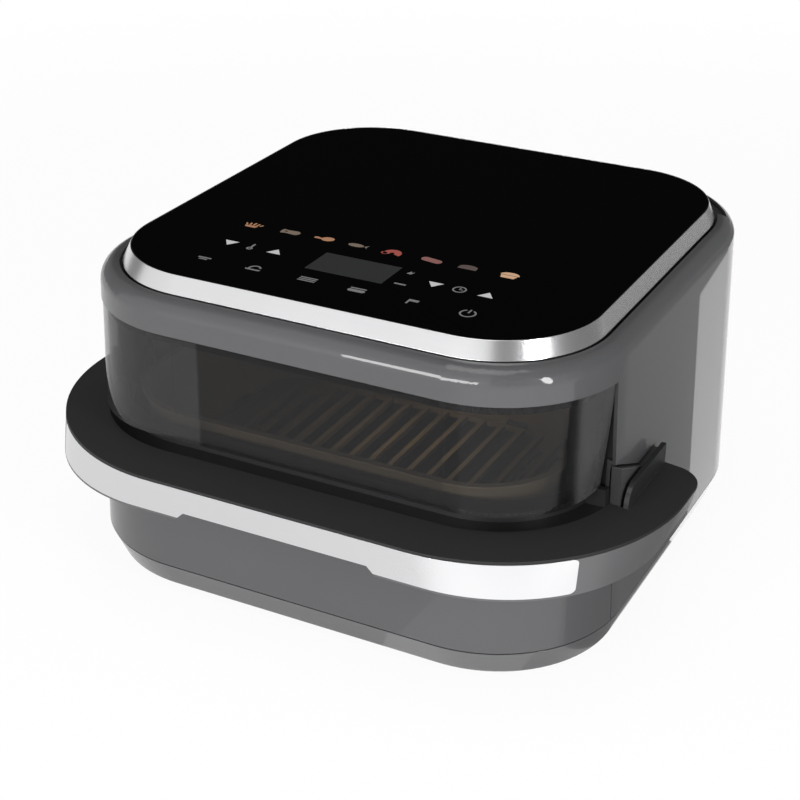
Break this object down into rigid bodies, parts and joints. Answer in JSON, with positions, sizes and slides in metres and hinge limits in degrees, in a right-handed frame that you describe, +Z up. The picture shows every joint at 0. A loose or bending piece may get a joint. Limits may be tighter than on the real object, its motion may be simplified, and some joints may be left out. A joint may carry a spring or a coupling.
{
  "type": "air fryer grill",
  "caption": "Low rounded-square countertop air fryer grill with a flat touch glass on top and a pull-out windowed drawer whose wide handle band wraps the front corners.",
  "frame": {"origin": "centre of the bounding box's floor rectangle, on the surface that the feet stand on", "axes": "+Z up, -Y is the front that the drawer pulls out along, +X is the user's right hand seen from the front"},
  "size_m": [0.4628, 0.4242, 0.2402],
  "materials": {
    "body_grey": "satin painted grey",
    "dark_trim": "matte dark",
    "band_grey": "satin grey",
    "silver_plate": "brushed",
    "ring_silver": "satin",
    "touch_glass": "black printed glass, opaque",
    "tinted_glass": "tinted",
    "clear_glass": "clear",
    "black_plastic": "matte",
    "rubber_black": "matte",
    "silicone_seal": "matte",
    "cavity_steel": "satin sheet",
    "ceramic_tan": "satin ceramic coat",
    "heater_steel": "dull",
    "motor_steel": "satin",
    "fan_aluminium": "satin",
    "screw_steel": "bright",
    "board_green": "matte",
    "insulation_white": "fibre"
  },
  "bodies": {
    "housing": {"outer_shell": "body_grey", "base": "body_grey", "rubber_feet": "rubber_black", "base_screws": "screw_steel", "panel_ring": "ring_silver", "control_glass": "touch_glass", "panel_carrier": "black_plastic", "touch_board": "board_green", "key_pads": "silicone_seal", "display_module": "black_plastic", "rear_top_vent": "black_plastic", "front_soffit": "dark_trim", "cavity_frame": "cavity_steel", "cavity_liner": "cavity_steel", "fan_baffle": "cavity_steel", "ring_heater": "heater_steel", "grill_heater": "heater_steel", "heater_guard": "heater_steel", "insulation_top": "insulation_white", "insulation_back": "insulation_white", "drawer_rail_right": "cavity_steel", "drawer_rail_left": "cavity_steel", "motor_bracket": "cavity_steel", "fan_motor": "motor_steel", "motor_screws": "screw_steel", "cooling_shroud": "black_plastic", "power_board": "board_green", "wiring_loom": "rubber_black", "thermal_cutout": "black_plastic", "temperature_probe": "heater_steel", "lamp_lens": "clear_glass", "lamp_housing": "cavity_steel", "lamp_bulb": "clear_glass", "interlock_switch": "black_plastic", "rear_panel": "dark_trim", "rear_panel_screws": "screw_steel", "cord_gland": "rubber_black"},
    "fan_rotor": {"fan_shaft": "motor_steel", "convection_fan": "fan_aluminium", "cooling_fan": "black_plastic"},
    "interlock": {"interlock_plunger": "screw_steel"},
    "drawer": {"front_window": "tinted_glass", "window_frame": "black_plastic", "inner_pane": "clear_glass", "finger_channel": "black_plastic", "lower_front_panel": "body_grey", "drawer_bulkhead": "black_plastic", "drawer_seal": "silicone_seal", "basket": "ceramic_tan", "basket_brackets": "cavity_steel", "runner_right": "cavity_steel", "runner_left": "cavity_steel", "handle_band": "band_grey", "handle_top_cover": "dark_trim", "handle_plate": "silver_plate", "drawer_arm_right": "band_grey", "drawer_arm_left": "band_grey", "handle_screws": "screw_steel"},
    "lift_out_plate": {"grill_plate": "ceramic_tan", "plate_bumpers": "silicone_seal"}
  },
  "joints": [
    {"name": "fan_spin", "type": "hinge", "parent": "housing", "child": "fan_rotor", "pos_m": [0, 0.0855, 0.122], "axis": [0, 1, 0], "continuous": true},
    {"name": "interlock_press", "type": "slide", "parent": "housing", "child": "interlock", "axis": [0, 1, 0], "range_m": [0, 0.0015], "stiffness_N_per_m": 150, "springref_m": -0.002},
    {"name": "drawer_slide", "type": "slide", "parent": "housing", "child": "drawer", "axis": [0, -1, 0], "range_m": [0, 0.158]},
    {"name": "plate_lift", "type": "slide", "parent": "drawer", "child": "lift_out_plate", "axis": [0, 0, 1], "range_m": [0, 0.09]}
  ]
}
